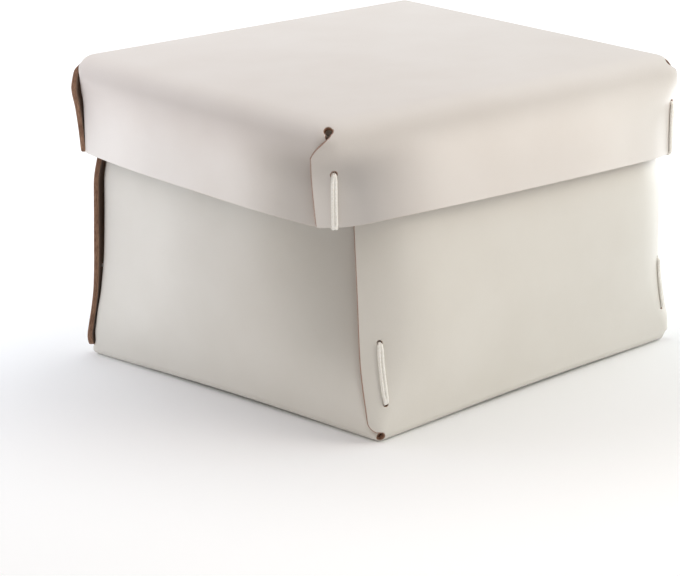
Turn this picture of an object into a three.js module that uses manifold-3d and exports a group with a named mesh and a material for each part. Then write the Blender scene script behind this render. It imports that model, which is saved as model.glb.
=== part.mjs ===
// Storage box of folded leather: an open body and a lift-off lid.
// Each half is one flat sheet. Its four sides are folded, the corner quadrants
// are slit along their diagonal from a punched relief hole, and the flaps
// overlap: the +X and -X walls lie outside at both of their ends, the +Y and -Y
// walls are tucked inside. One waxed cord, wound twice, ties each corner.
// Millimetres, +Z up, origin at the bottom centre.

import * as THREE from 'three';
import Module from 'manifold-3d';

// ---------------------------------------------------------------- dimensions
const LEATHER = 2.8;          // thickness of both sheets
const LID_TOP = 173.6;         // overall height
const LID_TURN = -7.6;        // the lid sits slightly turned on the body, degrees about Z

const BODY = {
  half: 118.6,                // mid surface of a wall from the centre, at the base
  fold: 4.0,                  // mid radius of the bottom fold
  height: 165.1,              // rim above the surface it stands on; the lid's soft fold rests just above it
  flap: 6.5,                  // flap beyond the corner line, in the flat
  tuck: 6.5,                  // the same on a tucked wall
  relief: 2.6,                // radius of the punched relief hole
  outline: { run: 14, power: 2.0 },
};
const LID = {
  half: 121.6,
  fold: 9.0,                  // the lid's top fold is soft
  height: 56.1,               // depth of the skirt, outside
  flap: 8.0,
  tuck: 10.0,
  relief: 2.25,
  outline: { run: 12, power: 1.25 },
};
const INNER_FLAP_START = 6;   // a tucked flap starts this much higher than an outer one

const BODY_LACE = { s: 113.4, low: 20.7, high: 51.5 };   // hole: along the wall, heights above the table
const LID_LACE = { s: 116.6, up: 29.6 };                  // hole: along the wall, height above the lid's rim
const LACE_HOLE = 1.45;       // radius of a lace hole in an outer wall
const LACE_HOLE_IN = 2.2;     // and in the tucked wall behind it, crossed at a slant
const LACE = { wide: 1.6, thin: 0.8, neck: 0.85 };        // half axes of the doubled cord, and at a hole
const LACE_GAP = 0.3;         // cord to leather
const KNOT = { long: 2.5, wide: 2.1, thin: 1.35 };        // half axes of the knot, inside

// ------------------------------------------------------------ corner tables
// Height above the sheet's flat, then the value there.
// bend: radius of the corner; start: where the bend starts along the wall;
// turn: how far the wall has turned at its end, degrees; lead: slow turn before
// the bend, degrees, from "from" on; out: how far the middle bellies outwards.
const bodyOuterStart = (c, end) => (z, R) => Math.min(c - 0.39 * R, end - 0.785 * R);
const BODY_OUT = {
  z: [0, 6, 11, 19, 28, 42, 58, 82, 170],
  bend: [4, 8, 14, 22, 29, 36, 38, 38.5, 38.5],
  turn: [[0, 45], [170, 45]],
  lead: [[0, 0.01], [20, 0.2], [60, 0.8], [170, 0.8]],
  out: [[0, 0], [20, 0.5], [60, 1.1], [118, -0.4], [163.7, -1.6]],
};
const BODY_IN = {
  bend: [[0, 5], [4, 5.5], [8, 6], [12, 6], [18, 7], [26, 8], [38, 10], [55, 12], [80, 14], [170, 14]],
  start: [[0, 115.5], [4, 111], [8, 109.1], [12, 108.9], [18, 107], [26, 104.8], [38, 101.7], [55, 100.5], [80, 99.8], [118, 99.8], [163.7, 98.4]],
  turn: [[0, 88], [18, 88], [38, 80], [170, 80]],
  lead: [[0, 0.01], [20, 1], [60, 7], [100, 9], [170, 9]],
  from: [[0, 60], [20, 50], [60, 30], [170, 30]],
  out: [[0, 0], [20, 1.6], [60, 2.7], [100, 3.1], [118, 3.1], [163.7, -1.6]],
};
const LID_OUT = {
  z: [0, 5, 10, 18, 28, 40, 56],
  bend: [7, 9, 13, 20, 27, 32, 36],
  turn: [[0, 45], [170, 45]],
  lead: [[0, 0.01], [10, 0.3], [56, 3]],
  out: [[0, 0], [15, 1.0], [56, 5.8]],
};
const LID_IN = {
  bend: [[0, 8], [18, 8], [26, 9], [36, 10], [46, 12], [60, 12]],
  start: [[0, 115.5], [6, 113], [12, 111.8], [18, 111.1], [26, 108.5], [36, 108], [46, 107.5], [60, 107.5]],
  turn: [[0, 80], [60, 80]],
  lead: [[0, 0.01], [10, 1], [56, 6]],
  from: [[0, 60], [20, 50], [56, 30]],
  out: [[0, 0], [15, 1.0], [56, 5.8]],
};

// Under the turned lid the top of the body follows it: its left and right
// corners swing round, its front and back corners draw in. shear and squeeze
// act across the diagonal through the front corner, waist along the other one.
const step = (x) => { const t = Math.min(Math.max(x, 0), 1); return t * t * (3 - 2 * t); };
const bodySway = (z) => ({
  shear: 0.146 * step((z - 20) / 95),
  squeeze: 0.136 * step((z - 20) / 95) + 0.010 * step((z - 112) / 40),
  waist: 0.030 * step((z - 98) / 32) + 0.015 * step((z - 135) / 30),
});
const lidSway = (z) => ({ shear: 0, squeeze: 0.018 * step((z - 12) / 42), waist: 0 });

// ------------------------------------------------------------------ folding
const rad = (d) => (d * Math.PI) / 180;
function at(table, z) {
  if (z <= table[0][0]) return table[0][1];
  for (let i = 1; i < table.length; i++) {
    if (z <= table[i][0]) {
      const [a, u] = table[i - 1], [b, w] = table[i];
      return u + ((w - u) * (z - a)) / (b - a);
    }
  }
  return table[table.length - 1][1];
}

// Walk along a level line of a wall made of arcs; returns how far along and how
// far out the point at arc length s is.
function walk(segments, out, s) {
  let along = 0, away = out, turn = 0, left = Math.abs(s);
  for (const [length, k] of segments) {
    const d = Math.min(left, length);
    if (Math.abs(k) < 1e-9) {
      along += d * Math.cos(turn); away -= d * Math.sin(turn);
    } else {
      const next = turn + k * d;
      along += (Math.sin(next) - Math.sin(turn)) / k;
      away -= (Math.cos(turn) - Math.cos(next)) / k;
      turn = next;
    }
    left -= d;
    if (left <= 1e-9) break;
  }
  return [s < 0 ? -along : along, away];
}

class FoldedSheet {
  constructor(spec, outer, inner, sway, inverted) {
    Object.assign(this, spec);
    this.r = spec.fold;
    this.b = spec.half - spec.fold;              // half width of the flat panel
    this.arc = (this.r * Math.PI) / 2;           // length of the fold
    this.c = this.b + this.arc / 2;              // corner line, mid fold
    this.end = this.c + spec.flap;
    const start = bodyOuterStart(this.c, this.end);
    this.outer = {
      ...outer,
      start: outer.z.map((z, i) => [z, start(z, outer.bend[i])]),
      bend: outer.z.map((z, i) => [z, outer.bend[i]]),
    };
    this.inner = inner;
    this.sway = sway;
    this.inverted = inverted;
  }

  segments(tucked, z) {
    const t = tucked ? this.inner : this.outer;
    const R = at(t.bend, z), s0 = at(t.start, z), lead = rad(at(t.lead, z)), end = rad(at(t.turn, z));
    const list = [];
    if (tucked) {
      const from = at(t.from, z);
      list.push([from, 0], [s0 - from, lead / (s0 - from)]);
    } else list.push([s0, lead / s0]);
    list.push([Math.max(R * (end - lead), 1e-6), 1 / R], [400, 0]);
    return [list, this.half + at(t.out, z)];
  }

  // v is the distance in the flat sheet from the start of the fold
  rise(v) {
    return v < this.arc ? this.r * (1 - Math.cos(v / this.r)) : this.r + v - this.arc;
  }

  flatOf(height) { return height - this.r + this.arc; }   // v of a height above the fold

  mid(wall, s, v) {
    const tucked = wall === 1 || wall === 3;
    const z = this.rise(v);
    const a = v < this.arc ? v / this.r : Math.PI / 2;
    const away0 = this.b + this.r * Math.sin(a);
    const [list, out] = this.segments(tucked, z);
    const [along, away] = walk(list, out, s);
    const w = Math.sin(a);
    const p = s + (along - s) * w;
    const n = away0 + (away - this.half) * w;
    const t = (wall * Math.PI) / 2, ct = Math.round(Math.cos(t)), st = Math.round(Math.sin(t));
    let x = n * ct - p * st, y = n * st + p * ct;
    const { shear, squeeze, waist } = this.sway(z + LEATHER / 2);
    let u = (x + y) / Math.SQRT2, q = (-x + y) / Math.SQRT2;
    const q2 = -shear * u + (1 - squeeze) * q, u2 = (1 - waist) * u;
    x = (u2 - q2) / Math.SQRT2; y = (u2 + q2) / Math.SQRT2;
    return new THREE.Vector3(x, y, z);
  }

  normal(wall, s, v) {                           // away from the inside of the box
    if (v <= 1e-9) return new THREE.Vector3(0, 0, -1);
    const e = 0.02;
    const ds = this.mid(wall, s + e, v).sub(this.mid(wall, s - e, v));
    const dv = this.mid(wall, s, v + e).sub(this.mid(wall, s, Math.max(v - e, 0)));
    return ds.cross(dv).normalize();
  }

  // Width of a flap beyond the corner line at v
  flapWidth(wall, v) {
    const tucked = wall === 1 || wall === 3;
    const above = v - this.arc / 2 - this.relief - (tucked ? INNER_FLAP_START : 0);
    if (above <= 0) return 0;
    const x = Math.min(above / this.outline.run, 1);
    return (tucked ? this.tuck : this.flap) * (1 - (1 - x) ** this.outline.power);
  }

  point(wall, s, v, lift) {                      // a point on the surface, lifted off the mid surface
    return this.place(this.mid(wall, s, v).addScaledVector(this.normal(wall, s, v), lift));
  }

  place(p) {                                     // stand the sheet up, or turn it over as the lid
    return this.inverted
      ? new THREE.Vector3(p.x, p.y, LID_TOP - LEATHER / 2 - p.z)
      : new THREE.Vector3(p.x, p.y, p.z + LEATHER / 2);
  }
}

// Build the closed solid: one grid of the middle surface for each wall, the
// flat panel between them, then both faces and the cut edges.
function solidOf(sheet, rows, columns, holes) {
  const mids = [], normals = [], index = new Map(), faces = [];
  const vertex = (p, n) => {
    const key = `${Math.round(p.x * 2000)},${Math.round(p.y * 2000)},${Math.round(p.z * 2000)}`;
    if (index.has(key)) { const i = index.get(key); normals[i].add(n); return i; }
    mids.push(p); normals.push(n.clone()); index.set(key, mids.length - 1);
    return mids.length - 1;
  };
  const loopEdge = [];
  for (let wall = 0; wall < 4; wall++) {
    const grid = [];
    rows.forEach((v) => {
      const side = (sign) => columns(wall, sign, v).map((q) => q * sign);
      const left = side(-1).reverse(), right = side(1);
      const ss = [...left, 0, ...right];
      grid.push(ss.map((s, i) => {
        const diagonal = v < sheet.arc / 2 - 0.5 * sheet.relief && (i === 0 || i === ss.length - 1);
        if (diagonal) {
          // on the diagonal the two folds meet: same place seen from both walls
          const a = v / sheet.r, n = sheet.b + sheet.r * Math.sin(a);
          const t = (wall * Math.PI) / 2, ct = Math.round(Math.cos(t)), st = Math.round(Math.sin(t));
          const p = n * Math.sign(s);
          return vertex(new THREE.Vector3(n * ct - p * st, n * st + p * ct, sheet.rise(v)), sheet.normal(wall, s, v));
        }
        return vertex(sheet.mid(wall, s, v), sheet.normal(wall, s, v));
      }));
    });
    const skip = new Set();
    for (const h of holes.filter((q) => q.wall === wall)) {
      const i = h.column, j = h.row;
      const ring = [];
      for (let k = 0; k < 8; k++) {
        const a = (k * Math.PI) / 4;
        const s = h.s + h.radius * Math.cos(a), v = h.v + h.radius * Math.sin(a);
        ring.push(vertex(sheet.mid(wall, s, v), sheet.normal(wall, s, v)));
      }
      const around = [[1, 0], [1, 1], [0, 1], [-1, 1], [-1, 0], [-1, -1], [0, -1], [1, -1]]
        .map(([di, dj]) => grid[j + dj][i + di]);
      for (let k = 0; k < 8; k++) {
        const m = (k + 1) % 8;
        faces.push([around[k], around[m], ring[m]], [around[k], ring[m], ring[k]]);
      }
      for (const [di, dj] of [[0, 0], [-1, 0], [0, -1], [-1, -1]]) skip.add(`${i + di},${j + dj}`);
    }
    for (let j = 0; j + 1 < rows.length; j++) {
      for (let i = 0; i + 1 < grid[j].length; i++) {
        if (skip.has(`${i},${j}`)) continue;
        const [a, b, c, d] = [grid[j][i], grid[j][i + 1], grid[j + 1][i + 1], grid[j + 1][i]];
        // split so that the diagonal runs away from the corner relief
        if (i < grid[j].length / 2) faces.push([a, b, c], [a, c, d]);
        else faces.push([a, b, d], [b, c, d]);
      }
    }
    loopEdge.push(grid[0].filter((q, i) => i === 0 || grid[0][i - 1] !== q));
  }
  // the flat panel, a polygon through the first row of every wall
  const loop = [];
  for (const edge of loopEdge) for (const q of edge) if (loop[loop.length - 1] !== q && loop[0] !== q) loop.push(q);
  const flat = loop.map((q) => new THREE.Vector2(mids[q].x, mids[q].y));
  for (const [a, b, c] of THREE.ShapeUtils.triangulateShape(flat, [])) {
    const area = (flat[b].x - flat[a].x) * (flat[c].y - flat[a].y) - (flat[c].x - flat[a].x) * (flat[b].y - flat[a].y);
    faces.push(area < 0 ? [loop[a], loop[b], loop[c]] : [loop[a], loop[c], loop[b]]);   // facing down
  }
  for (const q of loop) normals[q].set(0, 0, -1);

  const good = faces.filter(([a, b, c]) => a !== b && b !== c && a !== c);
  const n = mids.length, position = [];
  for (const lift of [LEATHER / 2, -LEATHER / 2]) {
    for (let i = 0; i < n; i++) {
      const p = sheet.place(mids[i].clone().addScaledVector(normals[i].clone().normalize(), lift));
      position.push(p.x, p.y, p.z);
    }
  }
  const tri = [], edges = new Map();
  for (const [a, b, c] of good) {
    tri.push(a, b, c, a + n, c + n, b + n);
    for (const [p, q] of [[a, b], [b, c], [c, a]]) {
      const back = `${q},${p}`;
      if (edges.has(back)) edges.delete(back); else edges.set(`${p},${q}`, [p, q]);
    }
  }
  for (const [p, q] of edges.values()) tri.push(q, p, p + n, q, p + n, q + n);
  if (sheet.inverted) for (let i = 0; i < tri.length; i += 3) [tri[i + 1], tri[i + 2]] = [tri[i + 2], tri[i + 1]];
  const geometry = new THREE.BufferGeometry();
  geometry.setAttribute('position', new THREE.Float32BufferAttribute(position, 3));
  geometry.setIndex(tri);
  return geometry;
}

// -------------------------------------------------------------- lace holes
// The hole in the tucked wall lies on the line through the outer wall's hole,
// square to it. lift picks the tucked wall's middle or one of its faces.
function behind(sheet, wall, s, v, lift = 0) {
  const from = sheet.mid(wall, s, v), dir = sheet.normal(wall, s, v).negate();
  const other = s < 0 ? (wall + 3) % 4 : (wall + 1) % 4;      // the neighbour at that end
  const sign = s < 0 ? 1 : -1;
  const miss = (a, b) => {
    const d = sheet.mid(other, a, b).addScaledVector(sheet.normal(other, a, b), lift).sub(from);
    return d.addScaledVector(dir, -d.dot(dir));
  };
  let best = null;
  for (const guess of [106, 110, 114, 118]) {
    let a = sign * guess, b = v;
    for (let k = 0; k < 40; k++) {
      const m = miss(a, b), e = 0.01;
      const da = miss(a + e, b).sub(m).divideScalar(e), db = miss(a, b + e).sub(m).divideScalar(e);
      const aa = da.dot(da), ab = da.dot(db), bb = db.dot(db), det = aa * bb - ab * ab;
      if (Math.abs(det) < 1e-12) break;
      const ra = -m.dot(da), rb = -m.dot(db);
      a += Math.max(-2, Math.min(2, (ra * bb - rb * ab) / det));
      b += Math.max(-2, Math.min(2, (rb * aa - ra * ab) / det));
    }
    const off = miss(a, b).length(), far = sheet.mid(other, a, b).sub(from).dot(dir);
    if (off < 0.01 && far > 0 && (!best || far < best.far)) best = { wall: other, s: a, v: b, far };
  }
  if (!best) throw new Error('no place behind the lace hole');
  return best;
}

function holePlan(sheet, s0, heights) {
  // for each outer wall and end: the holes there and the ones behind them
  const pairs = [];
  for (const wall of [0, 2]) for (const sign of [-1, 1]) {
    for (const v of heights) {
      const front = { wall, s: sign * s0, v };
      pairs.push({ front, back: behind(sheet, wall, front.s, v) });
    }
  }
  return pairs;
}

// Columns of a wall's grid at v: free lines, lines round the lace holes, and
// last the edge itself. Near the relief hole they are squeezed up against it.
const SQUEEZE_FROM = 96;
function sheetSolid(sheet, base, pairs, rows) {
  const holesOf = (wall, sign) => pairs.map((q) => (wall % 2 === 1 ? q.back : q.front))
    .filter((h) => h.wall === wall && Math.sign(h.s) === sign).sort((p, q) => p.v - q.v);
  const columns = (wall, sign, v) => {
    const mine = holesOf(wall, sign);
    const hs = at(mine.map((h) => [h.v, Math.abs(h.s)]), v);
    const free = base[wall % 2 === 1 ? 'tucked' : 'outer'].map((s) => (typeof s === 'number' ? s : hs + s.off));
    const over = v - sheet.arc / 2, hole = sheet.relief;
    let edge = sheet.c + sheet.flapWidth(wall, v);
    if (over < -0.71 * hole - 1e-6) edge = sheet.c + over;
    else if (over < hole - 1e-6) edge = sheet.c - Math.sqrt(hole ** 2 - over ** 2);
    const calm = mine[0].v - 3.3;
    if (v >= calm) return [...free, edge];
    const k = (edge - SQUEEZE_FROM) / (sheet.c + sheet.flapWidth(wall, calm) - SQUEEZE_FROM);
    return [...free.map((s) => (s > SQUEEZE_FROM ? SQUEEZE_FROM + (s - SQUEEZE_FROM) * k : s)), edge];
  };
  const holes = [];
  for (const q of pairs) for (const [h, radius] of [[q.front, LACE_HOLE], [q.back, LACE_HOLE_IN]]) {
    const list = base[h.wall % 2 === 1 ? 'tucked' : 'outer'];
    const k = list.findIndex((s) => typeof s !== 'number' && s.off === 0);
    const middle = list.length + 1;
    const column = h.s > 0 ? middle + 1 + k : middle - 1 - k;
    const row = rows.reduce((best, v, i) => (Math.abs(v - h.v) < Math.abs(rows[best] - h.v) ? i : best), 0);
    holes.push({ wall: h.wall, s: h.s, v: h.v, radius, column, row });
  }
  return solidOf(sheet, rows, columns, holes);
}

// -------------------------------------------------------------------- laces
// A closed loop of oval section: stations of position, facing direction and
// half axes. At a sharp corner the section is cut on the bisector.
function loopTube(stations, sides = 8) {
  const n = stations.length, position = [], tri = [];
  for (let i = 0; i < n; i++) {
    const { p, face, wide, thin } = stations[i];
    const before = p.clone().sub(stations[(i + n - 1) % n].p).normalize();
    const after = stations[(i + 1) % n].p.clone().sub(p).normalize();
    const ahead = before.clone().add(after).normalize();
    const up = face.clone().addScaledVector(ahead, -face.dot(ahead)).normalize();
    const across = ahead.clone().cross(up).normalize();
    const mitre = 1 / Math.max(ahead.dot(after), 0.6);
    for (let k = 0; k < sides; k++) {
      const a = ((k + 0.5) * 2 * Math.PI) / sides;
      const q = p.clone().addScaledVector(across, wide * Math.cos(a)).addScaledVector(up, thin * mitre * Math.sin(a));
      position.push(q.x, q.y, q.z);
    }
  }
  for (let i = 0; i < n; i++) for (let k = 0; k < sides; k++) {
    const a = i * sides + k, b = i * sides + ((k + 1) % sides);
    const c = ((i + 1) % n) * sides + ((k + 1) % sides), d = ((i + 1) % n) * sides + k;
    tri.push(a, c, b, a, d, c);
  }
  return { position, tri };
}

const wasm = await Module();
wasm.setup();

function toManifold({ position, tri }) {
  const build = (order) => new wasm.Manifold(new wasm.Mesh({
    numProp: 3, vertProperties: new Float32Array(position), triVerts: new Uint32Array(order),
  }));
  let solid = build(tri);
  if (solid.volume() < 0) {
    const flipped = [];
    for (let i = 0; i < tri.length; i += 3) flipped.push(tri[i], tri[i + 2], tri[i + 1]);
    solid = build(flipped);
  }
  return solid;
}

function toGeometry(solid) {
  const mesh = solid.getMesh();
  const g = new THREE.BufferGeometry();
  const p = [];
  for (let i = 0; i < mesh.numVert; i++) p.push(...mesh.vertProperties.slice(i * mesh.numProp, i * mesh.numProp + 3));
  g.setAttribute('position', new THREE.Float32BufferAttribute(p, 3));
  g.setIndex([...mesh.triVerts]);
  return g;
}

function knot(center, long, wide, thin, axisLong, axisThin) {
  const sphere = new THREE.SphereGeometry(1, 8, 6);
  const z = axisLong.clone().normalize();
  const y = axisThin.clone().addScaledVector(z, -axisThin.dot(z)).normalize();
  const x = y.clone().cross(z);
  const keys = new Map(), position = [], map = [];
  const src = sphere.getAttribute('position');
  for (let i = 0; i < src.count; i++) {
    const key = [src.getX(i), src.getY(i), src.getZ(i)].map((q) => Math.round(q * 1e4)).join();
    if (!keys.has(key)) {
      const p = center.clone().addScaledVector(x, src.getX(i) * wide).addScaledVector(z, src.getY(i) * long)
        .addScaledVector(y, src.getZ(i) * thin);
      keys.set(key, position.length / 3);
      position.push(p.x, p.y, p.z);
    }
    map.push(keys.get(key));
  }
  const tri = [];
  const idx = sphere.getIndex();
  for (let i = 0; i < idx.count; i += 3) {
    const [a, b, c] = [map[idx.getX(i)], map[idx.getX(i + 1)], map[idx.getX(i + 2)]];
    if (a !== b && b !== c && a !== c) tri.push(a, b, c);
  }
  return toManifold({ position, tri });
}

// The lace's two long runs lie on the outer face and on the tucked wall's inner
// face. Each run is a list of stations from one end to the other.
function run(sheet, wall, from, to, side, ends) {
  const lift = side * (LEATHER / 2 + LACE_GAP + LACE.thin);
  const length = Math.hypot(to.s - from.s, to.v - from.v);
  const at01 = [0, 1.4 / length, 3.6 / length, 0.36, 0.64, 1 - 3.6 / length, 1 - 1.4 / length, 1];
  return at01.map((k) => {
    const s = from.s + (to.s - from.s) * k, v = from.v + (to.v - from.v) * k;
    const face = sheet.normal(wall, s, v).multiplyScalar(side);
    if (sheet.inverted) face.z = -face.z;
    const near = Math.min(ends[0] ? k * length : 9, ends[1] ? (1 - k) * length : 9);
    return {
      p: sheet.point(wall, s, v, lift), face, thin: LACE.thin,
      wide: LACE.neck + (LACE.wide - LACE.neck) * step(near / 3.4),
    };
  });
}

// A lace stays on the holes' common line as it goes through both walls.
const through = (from, to, up, wide, thin, parts) => parts.map((k) => ({
  p: from.p.clone().lerp(to.p, k), face: up, wide, thin,
}));

function closeLoop(outer, inner, middles, knotAt) {
  // outer runs one way, inner the other; middles join them
  const list = [...outer, ...middles[0], ...inner, ...middles[1]];
  const corners = [outer[0], outer[outer.length - 1], inner[0], inner[inner.length - 1]];
  for (const q of corners) {
    const i = list.indexOf(q), n = list.length;
    const a = list[(i + n - 1) % n], b = list[(i + 1) % n];
    // facing at a corner: away from the inside of the bend
    const into = a.p.clone().sub(q.p).normalize().add(b.p.clone().sub(q.p).normalize());
    q.face = into.negate().normalize();
  }
  let solid = toManifold(loopTube(list));
  const spot = knotAt.p, up = knotAt.up;
  solid = solid.add(knot(spot, KNOT.long, KNOT.wide, KNOT.thin, up, knotAt.face));
  return toGeometry(solid);
}

// A lace through two pairs of holes: along the outside, back along the inside.
function bodyLace(sheet, low, high) {
  const lift = -(LEATHER / 2 + LACE_GAP + LACE.thin);
  const backLow = behind(sheet, low.front.wall, low.front.s, low.front.v, lift);
  const backHigh = behind(sheet, high.front.wall, high.front.s, high.front.v, lift);
  const outer = run(sheet, low.front.wall, high.front, low.front, 1, [true, true]);
  const inner = run(sheet, backLow.wall, backLow, backHigh, -1, [true, true]);
  const down = new THREE.Vector3(0, 0, -1), up = new THREE.Vector3(0, 0, 1);
  const parts = [0.3, 0.5, 0.7];
  const middles = [
    through(outer[outer.length - 1], inner[0], down, LACE.neck, LACE.neck, parts),
    through(inner[inner.length - 1], outer[0], up, LACE.neck, LACE.neck, parts),
  ];
  const mid = { s: (backLow.s + backHigh.s) / 2, v: (backLow.v + backHigh.v) / 2 };
  const face = sheet.normal(backLow.wall, mid.s, mid.v).negate();
  const spot = sheet.point(backLow.wall, mid.s, mid.v, -(LEATHER / 2 + LACE_GAP + KNOT.thin + 0.15));
  return closeLoop(outer, inner, middles, { p: spot, face, up: inner[4].p.clone().sub(inner[3].p) });
}

// A lace through one pair of holes and round the lid's rim.
function lidLace(sheet, hole, rimV) {
  const lift = -(LEATHER / 2 + LACE_GAP + LACE.thin);
  const backHole = behind(sheet, hole.front.wall, hole.front.s, hole.front.v, lift);
  const v = rimV + LACE_GAP + LACE.thin;         // the cord's middle, beyond the rim
  const rim = { s: hole.front.s * 1.004, v };
  const backRim = behind(sheet, hole.front.wall, rim.s, v, lift);
  const outer = run(sheet, hole.front.wall, hole.front, rim, 1, [true, false]);
  const inner = run(sheet, backRim.wall, backRim, backHole, -1, [false, true]);
  const down = new THREE.Vector3(0, 0, -1), up = new THREE.Vector3(0, 0, 1);
  const middles = [
    through(outer[outer.length - 1], inner[0], down, LACE.wide, LACE.thin, [0.25, 0.5, 0.75]),
    through(inner[inner.length - 1], outer[0], up, LACE.neck, LACE.neck, [0.3, 0.5, 0.7]),
  ];
  const k = 0.72;
  const mid = { s: backRim.s + (backHole.s - backRim.s) * k, v: backRim.v + (backHole.v - backRim.v) * k };
  const face = sheet.normal(backRim.wall, mid.s, mid.v).negate();
  face.z = -face.z;
  const spot = sheet.point(backRim.wall, mid.s, mid.v, -(LEATHER / 2 + LACE_GAP + KNOT.thin + 0.15));
  return closeLoop(outer, inner, middles, { p: spot, face, up: inner[4].p.clone().sub(inner[3].p) });
}

// ------------------------------------------------------------------- pieces
const leatherBody = new THREE.MeshStandardMaterial({ name: 'leather_body', color: 0xdcd8cf, roughness: 0.55, metalness: 0, flatShading: true });
const leatherLid = new THREE.MeshStandardMaterial({ name: 'leather_lid', color: 0xe6deda, roughness: 0.55, metalness: 0, flatShading: true });
const cord = new THREE.MeshStandardMaterial({ name: 'waxed_cord', color: 0xe8e2d6, roughness: 0.6, metalness: 0 });

const box = new THREE.Group();
const lid = new THREE.Group();
lid.rotation.z = rad(LID_TURN);

const body = new FoldedSheet(BODY, BODY_OUT, BODY_IN, bodySway, false);
const cap = new FoldedSheet(LID, LID_OUT, LID_IN, lidSway, true);

const bodyHoleV = [BODY_LACE.low, BODY_LACE.high].map((z) => body.flatOf(z - LEATHER / 2));
const lidHoleV = [cap.flatOf(LID.height - LID_LACE.up - LEATHER / 2)];
const bodyPairs = holePlan(body, BODY_LACE.s, bodyHoleV);
const lidPairs = holePlan(cap, LID_LACE.s, lidHoleV);

const m = (sheet, list) => list.map((d) => sheet.arc / 2 + d);
const q7 = Math.SQRT1_2;
const bodyRows = [
  0, ...m(body, [-q7 * BODY.relief, 0, q7 * BODY.relief, BODY.relief, 5.6, 9.5, 13.5]),
  bodyHoleV[0] - 3.2, bodyHoleV[0], bodyHoleV[0] + 3.2, 34,
  bodyHoleV[1] - 3.2, bodyHoleV[1], bodyHoleV[1] + 3.2, 74, 100, 122, 145,
  body.flatOf(BODY.height - LEATHER / 2),
];
const lidRows = [
  0, ...m(cap, [-4.4, -q7 * LID.relief, 0, q7 * LID.relief, LID.relief, 5, 8.6, 13]),
  lidHoleV[0] - 3.2, lidHoleV[0], lidHoleV[0] + 3.2, lidHoleV[0] + 11, lidHoleV[0] + 19,
  cap.flatOf(LID.height - LEATHER / 2),
];
const hole = { off: 0 };
const bodyColumns = {
  outer: [70, 88, 96, 103, { off: -4 }, hole, { off: 4 }],
  tucked: [45, 75, 92, 98, 103, { off: -8 }, { off: -4 }, hole, { off: 3.4 }],
};
const lidColumns = {
  outer: [70, 90, 99, 106, { off: -4.5 }, hole, { off: 4 }],
  tucked: [45, 80, 97, 104, { off: -7.5 }, { off: -4 }, hole, { off: 3.2 }],
};

const bodyMesh = new THREE.Mesh(sheetSolid(body, bodyColumns, bodyPairs, bodyRows), leatherBody);
bodyMesh.name = 'body_sheet';
box.add(bodyMesh);

const lidMesh = new THREE.Mesh(sheetSolid(cap, lidColumns, lidPairs, lidRows), leatherLid);
lidMesh.name = 'lid_sheet';
lid.add(lidMesh);

// corner names: seen from above with -Y at the front
const corner = (wall, s) => ({ '0-1': 'front_right', '01': 'back_right', '2-1': 'back_left', '21': 'front_left' })[`${wall}${Math.sign(s)}`];
for (let i = 0; i < bodyPairs.length; i += 2) {
  const [low, high] = [bodyPairs[i], bodyPairs[i + 1]];
  const mesh = new THREE.Mesh(bodyLace(body, low, high), cord);
  mesh.name = `body_lace_${corner(low.front.wall, low.front.s)}`;
  box.add(mesh);
}
const rimV = cap.flatOf(LID.height - LEATHER / 2);
for (const pair of lidPairs) {
  const mesh = new THREE.Mesh(lidLace(cap, pair, rimV), cord);
  mesh.name = `lid_lace_${corner(pair.front.wall, pair.front.s)}`;
  lid.add(mesh);
}

const scene = new THREE.Group();
scene.add(box, lid);
export default scene;
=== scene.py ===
"""Leather storage box with a lift-off lid, in front of a bright plain sweep.

Both halves are one folded sheet of thick leather. The sheets are meshed in the
flat, mapped through their folds, and thickened with a rounded cut edge, so the
grain, the core at the cut edges and the flesh side follow the real leather.
"""
import math
import bpy
import numpy as np
from mathutils import Matrix, Vector
from mathutils.geometry import delaunay_2d_cdt


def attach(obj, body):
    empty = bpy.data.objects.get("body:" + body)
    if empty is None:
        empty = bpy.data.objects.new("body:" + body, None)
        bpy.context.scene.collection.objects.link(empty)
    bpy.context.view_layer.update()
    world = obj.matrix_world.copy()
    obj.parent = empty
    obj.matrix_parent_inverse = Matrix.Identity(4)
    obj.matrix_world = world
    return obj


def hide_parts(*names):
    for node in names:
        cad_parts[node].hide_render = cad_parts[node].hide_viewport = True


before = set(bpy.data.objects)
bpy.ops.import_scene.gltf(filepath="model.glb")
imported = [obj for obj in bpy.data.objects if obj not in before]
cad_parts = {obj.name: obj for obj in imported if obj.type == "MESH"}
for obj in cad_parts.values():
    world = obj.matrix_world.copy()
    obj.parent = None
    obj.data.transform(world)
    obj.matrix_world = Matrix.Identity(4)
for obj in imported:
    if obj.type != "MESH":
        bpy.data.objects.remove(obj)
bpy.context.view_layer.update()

MM = 0.001

# ------------------------------------------------------------ shape (mm)
LEATHER = 2.8
LID_TOP = 173.6
LID_TURN = -7.6

BODY = dict(half=118.6, fold=4.0, height=165.1, flap=6.5, tuck=6.5, relief=2.6, run=8.0, power=2.3, round=2.0,
            shift=(-0.1, 1.0), taper=0.0,
            soft=dict(tucked=(8, 98, 42, 0.85), outer=(60, 118, 48, 0.6), rise=60.0, fold=(0, 0, 0, 0)))
LID = dict(half=121.6, fold=9.0, height=56.1, flap=8.0, tuck=10.0, relief=2.6, run=12.0, power=1.25, round=1.6,
           shift=(-1.0, -0.5), taper=0.28,
           soft=dict(tucked=(32, 110, 50, 1.0), outer=(33, 122, 56, 1.0), rise=27.0, fold=(16, 44, 0.8, 2)))
INNER_FLAP_START = 6.0
BODY_LACE = dict(s=113.4, low=20.7, high=51.5)
LID_LACE = dict(s=117.6, up=29.6)
HOLE = 1.45
HOLE_IN = 1.8

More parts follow.
